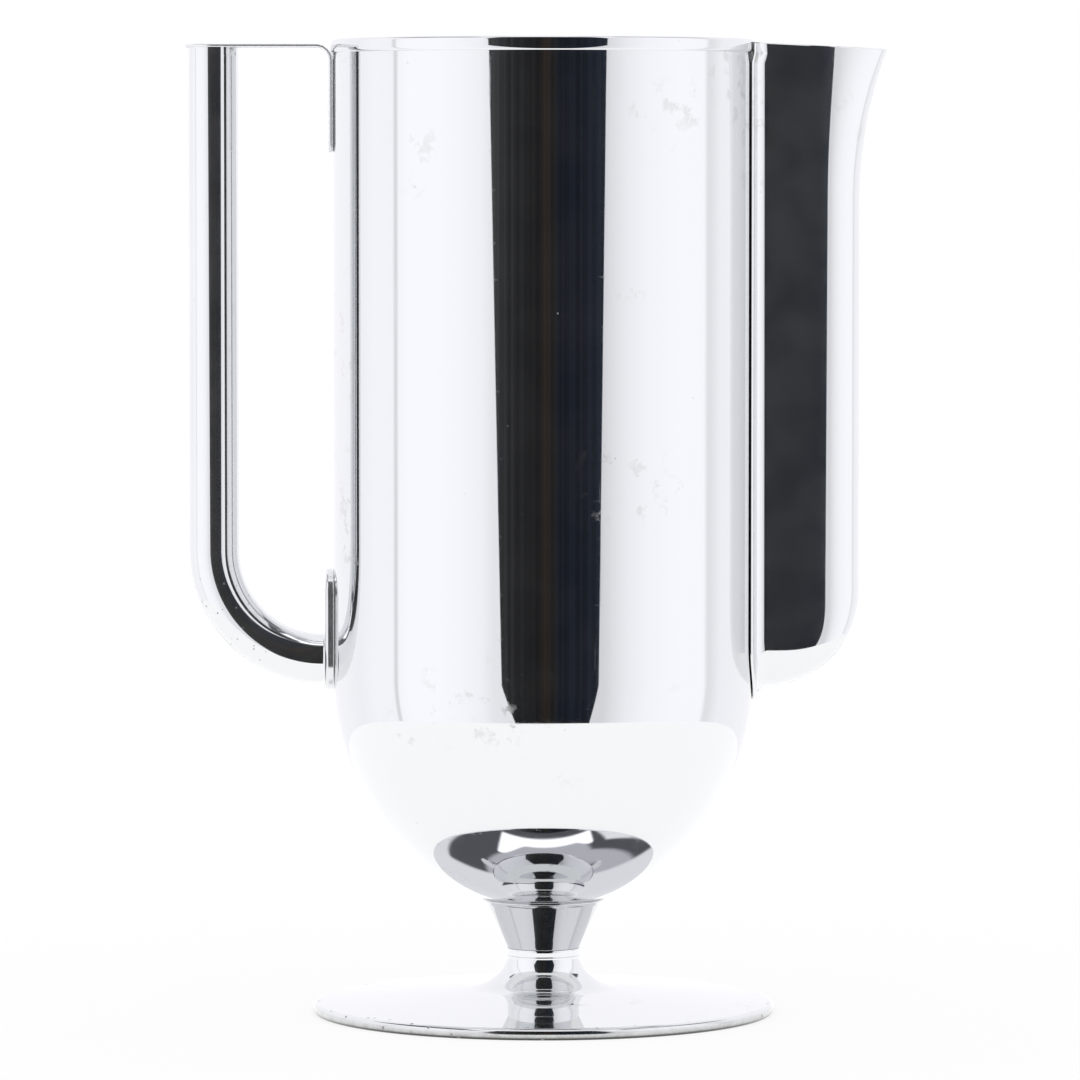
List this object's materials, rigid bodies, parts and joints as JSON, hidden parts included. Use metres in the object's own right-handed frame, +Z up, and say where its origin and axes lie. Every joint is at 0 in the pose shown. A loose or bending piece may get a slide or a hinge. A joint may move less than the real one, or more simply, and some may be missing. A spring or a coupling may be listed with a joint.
{
  "type": "chrome pitcher",
  "caption": "Footed chrome-plated pitcher with a straight tube body, a deep round bottom, a tall trough spout and a J-shaped tube handle.",
  "frame": {"origin": "on the pitcher's axis, in the plane of the table that it stands on", "axes": "+Z up along the pitcher's axis, +X towards the spout, -X towards the handle, Y = 0 is the mirror plane"},
  "size_m": [0.1797, 0.1186, 0.25],
  "materials": {
    "chrome": "polished chrome plate with fine scratches and smudges",
    "worn_chrome": "polished chrome plate, dull and pitted along the rolled edge",
    "brass": "plain turned brass",
    "steel": "plain steel"
  },
  "bodies": {
    "root": {"body_barrel": "chrome", "body_bowl": "chrome", "rim_bead": "chrome", "spout_trough": "chrome", "handle_tube": "chrome", "handle_top_strap": "chrome", "handle_lower_pad": "chrome", "stem_collar": "chrome", "stem_ring": "chrome", "foot": "worn_chrome", "foot_edge_wire": "steel", "stem_stud": "brass", "stem_washer": "steel", "stem_nut": "steel"}
  },
  "joints": []
}
